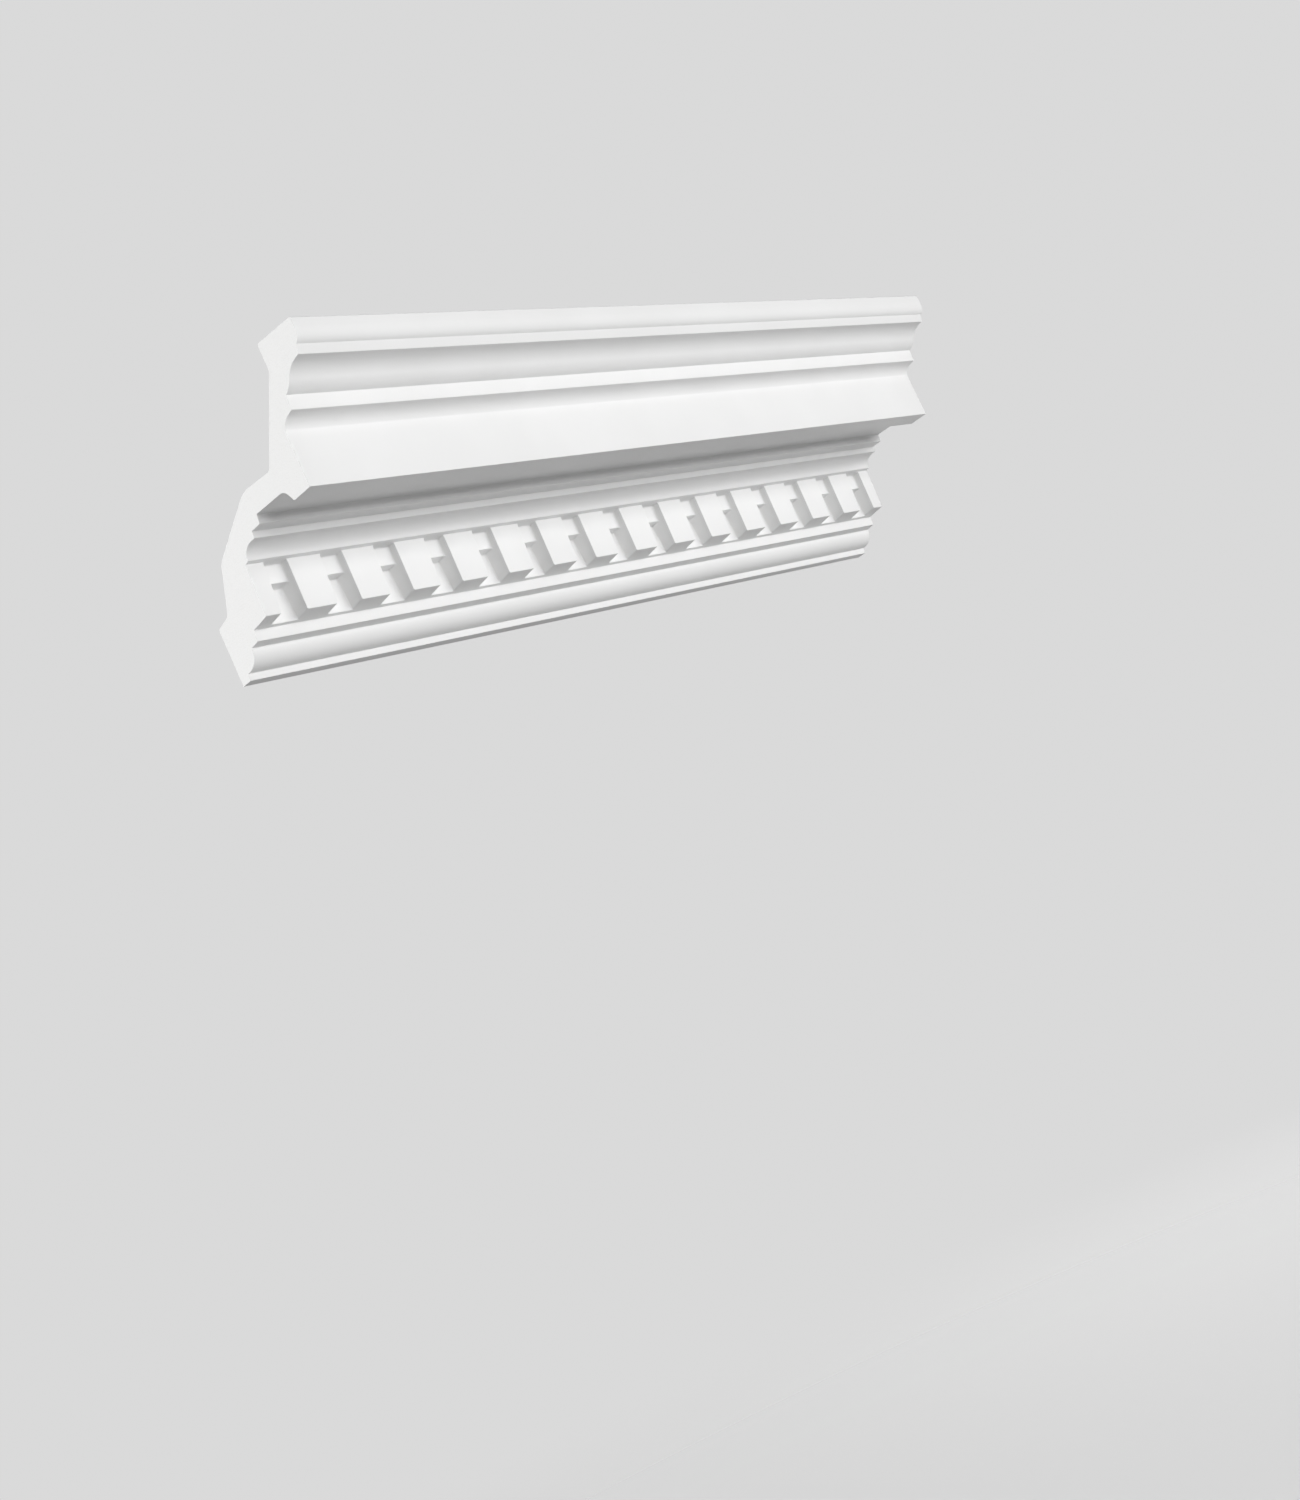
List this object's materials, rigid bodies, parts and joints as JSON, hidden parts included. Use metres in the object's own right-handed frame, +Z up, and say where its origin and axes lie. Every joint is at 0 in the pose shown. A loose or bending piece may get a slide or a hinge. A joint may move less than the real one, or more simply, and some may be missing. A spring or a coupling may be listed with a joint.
{
  "type": "cornice moulding length",
  "caption": "Straight length of classical dentil cornice moulding for the corner of wall and ceiling, with corona, cyma and hollow back, cut square at both ends.",
  "frame": {"origin": "middle of the face that is fixed to the wall, at half the length and half that face's height", "axes": "+X along the length, +Y into the wall, +Z up to the ceiling, as installed"},
  "size_m": [0.5, 0.1087, 0.1142],
  "materials": {
    "primed_foam": "matte white factory primer on a dense moulded foam"
  },
  "bodies": {
    "root": {"cornice_moulding": "primed_foam"}
  },
  "joints": []
}
